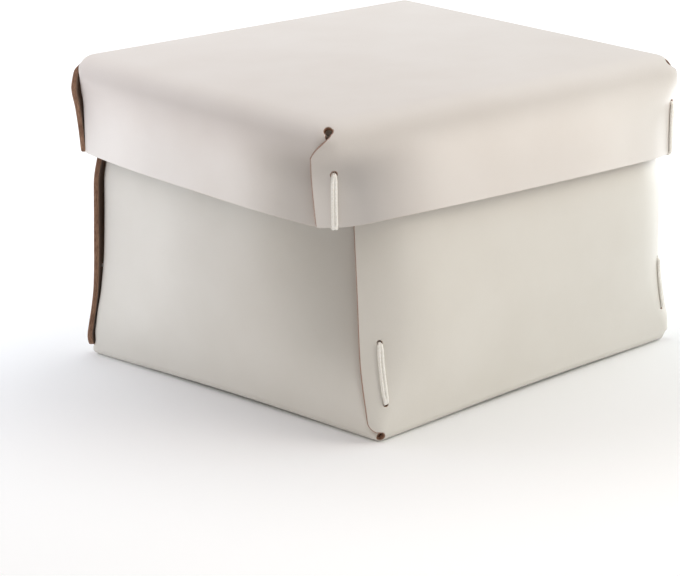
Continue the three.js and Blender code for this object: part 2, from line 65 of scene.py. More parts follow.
BODY_OUT = dict(
    z=[0, 6, 11, 19, 28, 42, 58, 82, 170],
    bend=[4, 8, 14, 22, 29, 36, 38, 38.5, 38.5],
    turn=[(0, 45), (170, 45)],
    lead=[(0, 0.01), (20, 0.2), (60, 0.8), (170, 0.8)],
    out=[(0, 0), (20, 0.5), (60, 1.1), (118, -0.4), (163.7, -1.6)],
)
BODY_IN = dict(
    bend=[(0, 5), (4, 5.5), (8, 6), (12, 6), (18, 7), (26, 8), (38, 10), (55, 12), (80, 14), (170, 14)],
    start=[(0, 115.5), (4, 111), (8, 109.1), (12, 108.9), (18, 107), (26, 104.8), (38, 101.7), (55, 100.5),
           (80, 99.8), (118, 99.8), (163.7, 98.4)],
    turn=[(0, 88), (18, 88), (38, 80), (170, 80)],
    lead=[(0, 0.01), (20, 1), (60, 7), (100, 9), (170, 9)],
    frm=[(0, 60), (20, 50), (60, 30), (170, 30)],
    out=[(0, 0), (20, 1.6), (60, 2.7), (100, 3.1), (118, 3.1), (163.7, -1.6)],
)
LID_OUT = dict(
    z=[0, 5, 10, 18, 28, 40, 56],
    bend=[7, 9, 13, 20, 27, 32, 36],
    turn=[(0, 45), (170, 45)],
    lead=[(0, 0.01), (10, 0.3), (56, 3)],
    out=[(0, 0), (15, 1.0), (56, 5.8)],
)
LID_IN = dict(
    bend=[(0, 8), (18, 8), (26, 9), (36, 10), (46, 12), (60, 12)],
    start=[(0, 115.5), (6, 113), (12, 111.8), (18, 111.1), (26, 108.5), (36, 108), (46, 107.5), (60, 107.5)],
    turn=[(0, 80), (60, 80)],
    lead=[(0, 0.01), (10, 1), (56, 6)],
    frm=[(0, 60), (20, 50), (56, 30)],
    out=[(0, 0), (15, 1.0), (56, 5.8)],
)


def step(x):
    t = np.clip(x, 0, 1)
    return t * t * (3 - 2 * t)


def body_sway(z):
    shear = 0.146 * step((z - 20) / 95)
    squeeze = 0.136 * step((z - 20) / 95) + 0.010 * step((z - 112) / 40)
    waist = 0.030 * step((z - 98) / 32) + 0.015 * step((z - 135) / 30)
    return shear, squeeze, waist


def lid_sway(z):
    return 0 * z, 0.018 * step((z - 12) / 42), 0 * z


class Smooth:
    """A table read with monotone cubics, so no crease shows where its rows are."""

    def __init__(self, rows):
        self.x = np.array([r[0] for r in rows], float)
        self.y = np.array([r[1] for r in rows], float)
        h = np.diff(self.x)
        d = np.diff(self.y) / h
        m = np.zeros(len(self.x))
        m[0], m[-1] = d[0], d[-1]
        for i in range(1, len(d)):
            if d[i - 1] * d[i] > 0:
                w1, w2 = 2 * h[i] + h[i - 1], h[i] + 2 * h[i - 1]
                m[i] = (w1 + w2) / (w1 / d[i - 1] + w2 / d[i])
        self.m, self.h = m, h

    def __call__(self, x):
        x = np.clip(x, self.x[0], self.x[-1])
        i = np.clip(np.searchsorted(self.x, x, side="right") - 1, 0, len(self.h) - 1)
        t = (x - self.x[i]) / self.h[i]
        h = self.h[i]
        return ((1 + 2 * t) * (1 - t) ** 2 * self.y[i] + t * (1 - t) ** 2 * h * self.m[i]
                + t * t * (3 - 2 * t) * self.y[i + 1] + t * t * (t - 1) * h * self.m[i + 1])


class FoldedSheet:
    """wall 0 is +X, 1 is +Y, 2 is -X, 3 is -Y; s runs along a wall, v up from the fold's start."""

    def __init__(self, spec, outer, inner, sway, inverted, arch):
        self.__dict__.update(spec)
        self.r = self.fold
        self.b = self.half - self.r
        self.arc = self.r * math.pi / 2
        self.c = self.b + self.arc / 2
        end = self.c + self.flap
        start = [min(self.c - 0.39 * R, end - 0.785 * R) for R in outer["bend"]]
        self.tables = [
            {"bend": Smooth(list(zip(outer["z"], outer["bend"]))), "start": Smooth(list(zip(outer["z"], start))),
             **{k: Smooth(outer[k]) for k in ("turn", "lead", "out")}},
            {k: Smooth(inner[k]) for k in ("bend", "start", "turn", "lead", "frm", "out")},
        ]
        self.sway, self.inverted, self.arch = sway, inverted, arch
        self.top = self.height - LEATHER / 2 - self.r + self.arc

    def flat_of(self, height):
        return height - self.r + self.arc

    def _walk(self, tucked, z, s):
        t = self.tables[tucked]
        R, s0 = t["bend"](z), t["start"](z)
        lead, end = np.radians(t["lead"](z)), np.radians(t["turn"](z))
        if tucked:
            frm = t["frm"](z)
            segments = [(frm, 0 * z), (s0 - frm, lead / (s0 - frm))]
        else:
            segments = [(s0, lead / s0)]
        segments += [(np.maximum(R * (end - lead), 1e-6), 1 / R), (400 + 0 * z, 0 * z)]
        along, away, turn, left = 0 * z, self.half + t["out"](z), 0 * z, np.abs(s)
        for length, k in segments:
            d = np.minimum(left, length)
            straight = np.abs(k) < 1e-9
            ks = np.where(straight, 1.0, k)
            nxt = turn + k * d
            along = along + np.where(straight, d * np.cos(turn), (np.sin(nxt) - np.sin(turn)) / ks)
            away = away - np.where(straight, d * np.sin(turn), (np.cos(turn) - np.cos(nxt)) / ks)
            turn = nxt
            left = left - d
        return np.sign(s) * along, away

    def mid(self, wall, s, v):
        """Middle surface of one wall; wall, s and v are arrays."""
        wall, s, v = np.broadcast_arrays(np.asarray(wall), np.asarray(s, float), np.asarray(v, float))
        r, b = self.r, self.b
        vc = np.clip(v, 0, None)
        a = np.minimum(vc / r, math.pi / 2)
        z = np.where(vc < self.arc, r * (1 - np.cos(a)), r + vc - self.arc)
        away0 = b + r * np.sin(a)
        tucked = (wall % 2) == 1
        p0, n0 = self._walk(0, z, s)
        p1, n1 = self._walk(1, z, s)
        along, away = np.where(tucked, p1, p0), np.where(tucked, n1, n0)
        w = np.sin(a)
        P = s + (along - s) * w
        N = away0 + (away - self.half) * w
        # the corner of the fold is part of a sphere, up to the relief hole
        u = np.clip(np.abs(s) - b, 0, None)
        psi = np.hypot(u, vc)
        f = np.where(psi > 1e-6, r * np.sin(np.minimum(psi / r, math.pi / 2)) / np.maximum(psi, 1e-6), 1.0)
        Ps = np.sign(s) * (np.minimum(np.abs(s), b) + f * u)
        Ns = b + f * vc
        zs = r * (1 - np.cos(np.minimum(psi / r, math.pi / 2)))
        v0, v1 = self.arc / 2 - 0.72 * self.relief, self.arc
        om = step((vc - v0) / (v1 - v0))
        P, N, z = Ps + (P - Ps) * om, Ns + (N - Ns) * om, zs + (z - zs) * om
        # on the panel itself v is negative
        N = np.where(v < 0, b + v, N)
        z = np.where(v < 0, 0.0, z)
        # the panel's sides arch a little between the corners
        side = np.clip(1 - (s / (b - 4)) ** 2, 0, 1)
        inward = step(1 + v / 50)
        upward = 1 - step((v - self.arc) / 55)
        z = z + self.arch * side ** 1.5 * inward * upward
        t = wall * (math.pi / 2)
        ct, st = np.round(np.cos(t)), np.round(np.sin(t))
        x, y = N * ct - P * st, N * st + P * ct
        shear, squeeze, waist = self.sway(z + LEATHER / 2)
        X, Y = (x + y) / math.sqrt(2), (-x + y) / math.sqrt(2)
        Y2, X2 = -shear * X + (1 - squeeze) * Y, (1 - waist) * X
        return np.stack([(X2 - Y2) / math.sqrt(2), (X2 + Y2) / math.sqrt(2), z], -1)

    def flap_width(self, wall, v):
        tucked = (np.asarray(wall) % 2) == 1
        above = v - self.arc / 2 - self.relief - np.where(tucked, INNER_FLAP_START, 0.0)
        x = np.clip(above / self.run, 0, 1)
        # an outer flap narrows towards the open end
        wide = 1 + self.taper * np.clip((self.top - v) / (self.top - self.arc), 0, 1)
        return np.where(tucked, self.tuck, self.flap * wide) * (1 - (1 - x) ** self.power)

    # flat coordinates: the sheet laid out, in mm, centred on the panel
    def wall_of(self, X, Y):
        return np.where(np.abs(X) >= np.abs(Y), np.where(X >= 0, 0, 2), np.where(Y >= 0, 1, 3))

    def to_sv(self, X, Y):
        w = self.wall_of(X, Y)
        t = w * (math.pi / 2)
        ct, st = np.round(np.cos(t)), np.round(np.sin(t))
        return w, -X * st + Y * ct, X * ct + Y * st - self.b

    def to_flat(self, wall, s, v):
        t = np.asarray(wall) * (math.pi / 2)
        ct, st = np.round(np.cos(t)), np.round(np.sin(t))
        n = self.b + v
        return n * ct - s * st, n * st + s * ct

    def at(self, X, Y):
        return self.mid(*self.to_sv(X, Y))

    def normal(self, wall, s, v, e=0.05):
        ds = self.mid(wall, s + e, v) - self.mid(wall, s - e, v)
        dv = self.mid(wall, s, v + e) - self.mid(wall, s, v - e)
        n = np.cross(ds, dv)
        return n / np.linalg.norm(n, axis=-1, keepdims=True)

    def place(self, p):
        p = np.array(p, float)
        if self.inverted:
            p[..., 2] = LID_TOP - LEATHER / 2 - p[..., 2]
            a = math.radians(LID_TURN)
            x, y = p[..., 0].copy(), p[..., 1].copy()
            p[..., 0], p[..., 1] = x * math.cos(a) - y * math.sin(a), x * math.sin(a) + y * math.cos(a)
        else:
            p[..., 2] = p[..., 2] + LEATHER / 2
        return p

    def turn_normal(self, n):
        n = np.array(n, float)
        if self.inverted:
            n[..., 2] = -n[..., 2]
            a = math.radians(LID_TURN)
            x, y = n[..., 0].copy(), n[..., 1].copy()
            n[..., 0], n[..., 1] = x * math.cos(a) - y * math.sin(a), x * math.sin(a) + y * math.cos(a)
        return n

    def point(self, wall, s, v, lift):
        return self.place(self.mid(wall, s, v) + self.normal(wall, s, v) * np.asarray(lift)[..., None])

    def behind(self, wall, s, v, lift=0.0):
        """Where the line through an outer wall's hole, square to it, meets the tucked wall."""
        start = self.mid(wall, s, v)
        direction = -self.normal(wall, s, v)
        other = (wall + 3) % 4 if s < 0 else (wall + 1) % 4
        sign = 1 if s < 0 else -1

        def reach(a, b):
            d = self.mid(other, a, b) + self.normal(other, a, b) * lift - start
            far = d @ direction
            return d - far[..., None] * direction, far

        best = None
        for guess in (118, 114, 110, 106):
            a, b = sign * guess, v
            for _ in range(30):
                m, far = reach(np.array([a, a + 0.01, a]), np.array([b, b, b + 0.01]))
                da, db = (m[1] - m[0]) / 0.01, (m[2] - m[0]) / 0.01
                aa, ab, bb = da.dot(da), da.dot(db), db.dot(db)
                det = aa * bb - ab * ab
                if abs(det) < 1e-12 or np.linalg.norm(m[0]) < 1e-4:
                    break
                ra, rb = -m[0].dot(da), -m[0].dot(db)
                a += float(np.clip((ra * bb - rb * ab) / det, -2, 2))
                b += float(np.clip((rb * aa - ra * ab) / det, -2, 2))
            if np.linalg.norm(m[0]) < 0.01 and far[0] > 0 and (best is None or far[0] < best[3] - 0.01):
                best = (other, a, b, float(far[0]))
        return best


body = FoldedSheet(BODY, BODY_OUT, BODY_IN, body_sway, False, 1.3)
lid = FoldedSheet(LID, LID_OUT, LID_IN, lid_sway, True, 0.0)

body_v = [body.flat_of(z - LEATHER / 2) for z in (BODY_LACE["low"], BODY_LACE["high"])]
lid_v = [lid.flat_of(LID["height"] - LID_LACE["up"] - LEATHER / 2)]


def lace_holes(sheet, s0, levels):
    corners = []
    for wall in (0, 2):
        for sign in (-1, 1):
            corners.append([((wall, sign * s0, v), sheet.behind(wall, sign * s0, v)) for v in levels])
    return corners


body_corners = lace_holes(body, BODY_LACE["s"], body_v)
lid_corners = lace_holes(lid, LID_LACE["s"], lid_v)


# ------------------------------------------------------------ flat outline
def arc_points(cx, cy, r, a0, a1, pitch):
    n = max(3, int(abs(a1 - a0) * r / pitch))
    a = np.linspace(a0, a1, n + 1)
    return np.stack([cx + r * np.cos(a), cy + r * np.sin(a)], 1)


def outline(sheet):
    """The cut outline in the flat, anticlockwise, with a point about every millimetre."""
    top, c, rho = sheet.top, sheet.c, sheet.relief
    loop = []

    def side(wall, v):
        """Where a flap's edge is; it starts from the relief hole, which may sit a little off the corner line."""
        ds, dv = sheet.shift if wall % 2 == 0 else sheet.shift[::-1]
        lo = sheet.arc / 2 + dv + rho
        return c + ds * (1 - step((v - lo) / 10)) + sheet.flap_width(wall, v), lo

    def flat(sv, w):
        return np.stack(sheet.to_flat(w, sv[:, 0], sv[:, 1]), 1)

    for wall in range(4):
        nxt = (wall + 1) % 4
        edge = float(side(wall, np.array([top]))[0][0])
        k = sheet.round
        # rim, from the -s end to the +s end, with its two corners rounded
        a = np.linspace(-math.pi / 2, 0, 7)
        left = np.stack([-edge + k + k * np.sin(a), top - k + k * np.cos(a)], 1)
        right = left[::-1] * [-1, 1]
        n = int((2 * edge - 2 * k) / 1.0)
        rim = np.stack([np.linspace(-edge + k, edge - k, n + 1), np.full(n + 1, top)], 1)

        def rows(w):
            lo = side(w, np.array([top]))[1]
            v = np.concatenate([np.arange(top - k - 1.0, lo + 26, -1.0), np.arange(lo + 26, lo + 0.02, -0.4)])
            return v, side(w, v)[0]
        # down the +s flap, round the relief hole, and up the -s flap of the next wall
        v, e = rows(wall)
        down = np.stack([e, v], 1)
        ds, dv = sheet.shift if wall % 2 == 0 else sheet.shift[::-1]
        hole = arc_points(0, 0, rho, 0, -1.5 * math.pi, 0.32)
        hs = np.stack([c + ds + hole[:, 1], sheet.arc / 2 + dv + hole[:, 0]], 1)
        v, e = rows(nxt)
        up = np.stack([-e[::-1], v[::-1]], 1)
        loop += [flat(left[1:], wall), flat(rim[1:-1], wall), flat(right[:-1], wall), flat(down, wall),
                 flat(hs, wall), flat(up, nxt)]
    pts = np.concatenate(loop)
    keep = np.linalg.norm(pts - np.roll(pts, 1, 0), axis=1) > 0.02
    return pts[keep]


def hole_loops(sheet, corners):
    loops = []
    for corner in corners:
        for front, back in corner:
            for (wall, s, v), r in ((front, HOLE), (back[:3], HOLE_IN)):
                X, Y = sheet.to_flat(wall, s, v)
                loops.append(arc_points(float(X), float(Y), r, 0, 2 * math.pi, 0.26)[:-1][::-1])
    return loops


def inward_normals(loop):
    a, b = np.roll(loop, 1, 0), np.roll(loop, -1, 0)
    d1 = loop - a
    d2 = b - loop
    d1 /= np.linalg.norm(d1, axis=1, keepdims=True)
    d2 /= np.linalg.norm(d2, axis=1, keepdims=True)
    n = np.stack([-(d1[:, 1] + d2[:, 1]), d1[:, 0] + d2[:, 0]], 1)
    n /= np.maximum(np.linalg.norm(n, axis=1, keepdims=True), 1e-9)
    return n


def inside(points, loop):
    x, y = points[:, 0], points[:, 1]
    hit = np.zeros(len(points), bool)
    a, b = loop, np.roll(loop, -1, 0)
    for (x1, y1), (x2, y2) in zip(a, b):
        if y1 == y2:
            continue
        cross = ((y1 > y) != (y2 > y)) & (x < (x2 - x1) * (y - y1) / (y2 - y1) + x1)
        hit ^= cross
    return hit


def nearest(points, targets, chunk=2000):
    out = np.empty(len(points))
    for i in range(0, len(points), chunk):
        p = points[i:i + chunk]
        d = (p[:, None, 0] - targets[None, :, 0]) ** 2 + (p[:, None, 1] - targets[None, :, 1]) ** 2
        out[i:i + chunk] = np.sqrt(d.min(1))
    return out


EDGE_OUT = 0.42      # rounding of the grain side at a cut edge
EDGE_IN = 0.30       # and of the flesh side
OFFSETS = (0.06, 0.17, 0.31, 0.46, 0.95)


def grid_lines(sheet, fine_edge):
    b, arc, top = sheet.b, sheet.arc, sheet.top
    parts = [np.arange(0, 84, 6.0), np.arange(84, b - 4, 1.8), np.arange(b - 4, b, 1.0),
             b + np.linspace(0, arc, 9 if arc < 8 else 15),
             np.arange(b + arc + 1.0, b + arc + 12, 1.4), np.arange(b + arc + 12, b + 70, 2.4),
             np.arange(b + 70, b + top, 4.0)]
    g = np.concatenate(parts)
    g = g[g < b + top]
    g = np.unique(np.round(np.concatenate([g, -g]), 4))
    return g


def flat_mesh(sheet, corners):
    rim = outline(sheet)
    holes = hole_loops(sheet, corners)
    loops = [rim] + holes
    points, edges, boundary, dist, out_dir = [], [], [], [], []
    base = 0
    for loop in loops:
        n = len(loop)
        inn = inward_normals(loop)
        points.append(loop)
        dist.append(np.zeros(n))
        out_dir.append(-inn)
        ids = base + np.arange(n)
        edges += list(zip(ids.tolist(), np.roll(ids, -1).tolist()))
        boundary.append(ids)
        base += n
    outline_all = np.concatenate(loops)
    for k, loop in enumerate(loops):
        inn = inward_normals(loop)
        for d in OFFSETS:
            p = loop + inn * d
            near = nearest(p, outline_all)
            ok = near > d * 0.93
            if k == 0:
                ok &= inside(p, rim)
            points.append(p[ok])
            dist.append(np.full(ok.sum(), d))
            out_dir.append(-inn[ok])
            base += int(ok.sum())
    g = grid_lines(sheet, True)
    GX, GY = np.meshgrid(g, g, indexing="ij")
    G = np.stack([GX.ravel(), GY.ravel()], 1)
    lim = sheet.c + max(sheet.flap, sheet.tuck) + 1
    G = G[(np.abs(G[:, 0]) < lim) | (np.abs(G[:, 1]) < lim)]
    G = G[inside(G, rim)]
    for h in holes:
        G = G[~inside(G, h)]
    d = nearest(G, outline_all)
    ok = d > 1.35
    G, d = G[ok], d[ok]
    points.append(G)
    dist.append(d)
    out_dir.append(np.zeros((len(G), 2)))
    P = np.concatenate(points)
    D = np.concatenate(dist)
    O = np.concatenate(out_dir)
    verts, _, faces, orig, _, _ = delaunay_2d_cdt([Vector(p) for p in P.tolist()], edges, [], 0, 1e-5)
    V = np.array([tuple(v) for v in verts])
    src = np.array([o[0] if len(o) else -1 for o in orig])
    F = np.array([f for f in faces if len(f) == 3])
    cen = V[F].mean(1)
    ok = inside(cen, rim)
    for h in holes:
        ok &= ~inside(cen, h)
    F = F[ok]
    area = np.cross(V[F[:, 1]] - V[F[:, 0]], V[F[:, 2]] - V[F[:, 0]])
    F = F[np.abs(area) > 1e-7]
    area = area[np.abs(area) > 1e-7]
    F[area < 0] = F[area < 0][:, ::-1]
    used = np.unique(F)
    remap = -np.ones(len(V), int)
    remap[used] = np.arange(len(used))
    new_id = -np.ones(len(P), int)
    for i, o in enumerate(orig):
        for q in o:
            new_id[q] = remap[i]
    D2 = np.where(src >= 0, D[src], 5.0)[used]
    O2 = np.where(src[:, None] >= 0, O[src], 0.0)[used]
    return V[used], remap[F], D2, O2, [new_id[b] for b in boundary]


def soften(sheet, wall, s, v, normal, flat):
    """Shading directions of the grain side: the leather turns the corners and its folds more gradually than the mesh."""
    t = wall * (math.pi / 2)
    wn = np.stack([np.round(np.cos(t)), np.round(np.sin(t)), 0 * t], -1)
    wa = np.stack([-wn[:, 1], wn[:, 0], 0 * t], -1) * np.where(s >= 0, 1.0, -1.0)[:, None]
    look = sheet.soft
    z = np.clip(v - sheet.arc / 2, 0, None)
    rise = step(z / look["rise"])
    tucked = (wall % 2) == 1
    s0, s1, most, share = (np.where(tucked, i, o) for i, o in zip(look["tucked"], look["outer"]))
    across = (normal * wn).sum(1)
    along = (normal * wa).sum(1)
    lift = np.arcsin(np.clip(-normal[:, 2], -1, 1))
    turn = np.arctan2(along, across)
    turn = turn + share * rise * (np.radians(most) * step((np.abs(s) - s0) / (s1 - s0)) - turn)
    inside_u, outside_u, fold_share, rest = look["fold"]

    def wanted(u):
        return np.radians(rest + (90 - rest) * (1 - step((u + inside_u) / (inside_u + outside_u))))

    def slope(u):
        e = math.pi / 2 + fold_share * (wanted(u) - math.pi / 2)
        return 1 / np.tan(np.clip(e, 0.05, math.pi / 2 - 1e-6))

    if fold_share:
        lift = lift + fold_share * (wanted(v - sheet.arc / 2) - lift)
    out = (wn * np.cos(turn)[:, None] + wa * np.sin(turn)[:, None]) * np.cos(lift)[:, None]
    out[:, 2] = -np.sin(lift)
    if fold_share:
        other = slope(np.minimum(np.abs(s) - sheet.b, 0) - sheet.arc / 2) * (1 - step(z / 18)) * np.sin(lift)
        out += wa * other[:, None]
        panel = np.zeros_like(out)
        panel[:, 2] = -1
        for axis in (0, 1):
            q = flat[:, axis]
            panel[:, axis] = np.sign(q) * slope(np.minimum(np.abs(q) - sheet.b, 0) - sheet.arc / 2)
        out = np.where((v < 0)[:, None], panel, out)
    else:
        out = np.where((v < 0)[:, None], normal, out)
    return out / np.linalg.norm(out, axis=1, keepdims=True)


def sheet_object(name, sheet, corners, materials):
    V, F, D, O, loops = flat_mesh(sheet, corners)
    wall, s, v = sheet.to_sv(V[:, 0], V[:, 1])
    # well inside the panel every wall gives the same point
    mid = sheet.mid(wall, s, v)
    e = 0.05
    dX = (sheet.at(V[:, 0] + e, V[:, 1]) - sheet.at(V[:, 0] - e, V[:, 1])) / (2 * e)
    dY = (sheet.at(V[:, 0], V[:, 1] + e) - sheet.at(V[:, 0], V[:, 1] - e)) / (2 * e)
    nrm = -np.cross(dX, dY)
    nrm /= np.linalg.norm(nrm, axis=1, keepdims=True)
    soft = soften(sheet, wall, s, v, nrm, V)
    od = dX * O[:, :1] + dY * O[:, 1:]
    on = np.linalg.norm(od, axis=1, keepdims=True)
    od = np.where(on > 1e-6, od / np.maximum(on, 1e-9), 0)
    n = len(V)

    def side(radius, sign, facing):
        x = np.clip((radius - D) / radius, 0, 1)
        # never quite square at the cut, so the edge band meets it softly
        h = LEATHER / 2 - radius + radius * np.sqrt(np.clip(1 - (0.97 * x) ** 2, 0, 1))
        tilt = np.arcsin(0.97 * x)
        normal = sign * facing * np.cos(tilt)[:, None] + od * np.sin(tilt)[:, None]
        return mid + sign * nrm * h[:, None], normal

    po, no = side(EDGE_OUT, 1, soft)
    pi, ni = side(EDGE_IN, -1, nrm)
    verts = [po, pi]
    normals = [no, ni]
    faces = [F[:, ::-1], F + n]
    mats = [np.zeros(len(F), int), np.full(len(F), 2)]
    uv = [V, V]
    edge = [D, D]
    lip = step((np.abs(s) - sheet.b - 0.5) / 1.5) * ((wall % 2) == 0) * (v > sheet.arc / 2) * step((sheet.top - 0.4 - v) / 1.2)
    lips = [lip, lip]
    base = 2 * n
    rows = 4
    length = 0.0
    extra_f, extra_uv = [], []
    for loop in loops:
        loop = loop[loop >= 0]
        m = len(loop)
        ring = [loop]
        a, b = po[loop], pi[loop]
        step_len = np.linalg.norm(V[loop] - V[np.roll(loop, 1)], axis=1)
        along = np.cumsum(step_len)
        for k in range(1, rows):
            t = k / rows
            bulge = 0.10 * math.sin(math.pi * t)
            verts.append(a * (1 - t) + b * t + od[loop] * bulge)
            normals.append(od[loop])
            uv.append(np.stack([along, np.full(m, t * LEATHER)], 1))
            edge.append(np.full(m, -t))
            lips.append(lip[loop])
            ring.append(base + np.arange(m))
            base += m
        ring.append(loop + n)
        for k in range(rows):
            r0, r1 = ring[k], ring[k + 1]
            q0, q1 = np.roll(r0, -1), np.roll(r1, -1)
            extra_f.append(np.stack([r0, q0, q1, r1], 1))
            t0, t1 = k / rows * LEATHER, (k + 1) / rows * LEATHER
            al, al1 = along, np.roll(along, -1).copy()
            al1[-1] = along[-1] + step_len[0]
            extra_uv.append(np.stack([np.stack([al, np.full(m, t0)], 1), np.stack([al1, np.full(m, t0)], 1),
                                      np.stack([al1, np.full(m, t1)], 1), np.stack([al, np.full(m, t1)], 1)], 1))
    P = np.concatenate(verts)
    N = np.concatenate(normals)
    U = np.concatenate(uv)
    E = np.concatenate(edge)
    tri = np.concatenate(faces)
    quad = np.concatenate(extra_f)
    quv = np.concatenate(extra_uv)
    P, N = sheet.place(P), sheet.turn_normal(N)
    N /= np.maximum(np.linalg.norm(N, axis=1, keepdims=True), 1e-9)
    # face directions follow the normals
    fn = np.cross(P[tri[:, 1]] - P[tri[:, 0]], P[tri[:, 2]] - P[tri[:, 0]])
    flip = (fn * N[tri].mean(1)).sum(1) < 0
    tri[flip] = tri[flip][:, ::-1]
    fq = np.cross(P[quad[:, 2]] - P[quad[:, 0]], P[quad[:, 3]] - P[quad[:, 1]])
    flipq = (fq * N[quad].mean(1)).sum(1) < 0
    quad[flipq] = quad[flipq][:, ::-1]
    quv[flipq] = quv[flipq][:, ::-1]

    mesh = bpy.data.meshes.new(name)
    nf = len(tri) + len(quad)
    mesh.vertices.add(len(P))
    mesh.vertices.foreach_set("co", (P * MM).astype(np.float32).ravel())
    mesh.loops.add(3 * len(tri) + 4 * len(quad))
    li = np.concatenate([tri.ravel(), quad.ravel()]).astype(np.int32)
    mesh.loops.foreach_set("vertex_index", li)
    mesh.polygons.add(nf)
    start = np.concatenate([np.arange(len(tri)) * 3, 3 * len(tri) + np.arange(len(quad)) * 4]).astype(np.int32)
    mesh.polygons.foreach_set("loop_start", start)
    mi = np.concatenate([*mats, np.ones(len(quad), int)]).astype(np.int32)
    mesh.polygons.foreach_set("material_index", mi)
    mesh.polygons.foreach_set("use_smooth", np.ones(nf, bool))
    flat_uv = mesh.uv_layers.new(name="flat")
    lu = U[tri.ravel()] * MM
    flat_uv.data.foreach_set("uv", np.concatenate([lu.ravel(), (quv.reshape(-1, 2) * MM).ravel()]).astype(np.float32))
    att = mesh.attributes.new("cut", "FLOAT", "POINT")
    att.data.foreach_set("value", np.clip(E, -1, 6).astype(np.float32))
    att = mesh.attributes.new("flap", "FLOAT", "POINT")
    att.data.foreach_set("value", np.concatenate(lips).astype(np.float32))
    mesh.update(calc_edges=True)
    mesh.validate()
    # the edge band keeps its own shading, so the two rounded lips stay crisp
    mesh.normals_split_custom_set_from_vertices([Vector(q) for q in N.tolist()])
    for mat in materials:
        mesh.materials.append(mat)
    ob = bpy.data.objects.new(name, mesh)
    bpy.context.scene.collection.objects.link(ob)
    return ob


# ------------------------------------------------------------ materials
def srgb(r, g, b):
    def lin(c):
        c /= 255
        return c / 12.92 if c <= 0.04045 else ((c + 0.055) / 1.055) ** 2.4
    return lin(r), lin(g), lin(b), 1.0


class Nodes:
    def __init__(self, name):
        self.mat = bpy.data.materials.new(name)
        self.mat.use_nodes = True
        self.t = self.mat.node_tree
        self.bsdf = self.t.nodes["Principled BSDF"]

    def new(self, kind, **values):
        node = self.t.nodes.new(kind)
        for k, v in values.items():
            if hasattr(node, k):
                setattr(node, k, v)
            else:
                node.inputs[k.replace("_", " ")].default_value = v
        return node

    def link(self, a, b):
        self.t.links.new(a, b)
        return self

    def math(self, op, a, b=None, clamp=False):
        node = self.t.nodes.new("ShaderNodeMath")
        node.operation = op
        node.use_clamp = clamp
        for i, x in enumerate((a, b)):
            if x is None:
                continue
            if isinstance(x, (int, float)):
                node.inputs[i].default_value = x
            else:
                self.t.links.new(x, node.inputs[i])
        return node.outputs[0]

    def mix(self, factor, a, b):
        node = self.t.nodes.new("ShaderNodeMix")
        node.data_type = "RGBA"
        for i, x in ((0, factor), (6, a), (7, b)):
            if isinstance(x, (int, float, tuple)):
                node.inputs[i].default_value = x
            else:
                self.t.links.new(x, node.inputs[i])
        return node.outputs[2]

    def ramp(self, source, lo, hi, smooth=True):
        node = self.t.nodes.new("ShaderNodeMapRange")
        node.interpolation_type = "SMOOTHSTEP" if smooth else "LINEAR"
        node.inputs["From Min"].default_value = lo
        node.inputs["From Max"].default_value = hi
        self.t.links.new(source, node.inputs["Value"])
        return node.outputs["Result"]


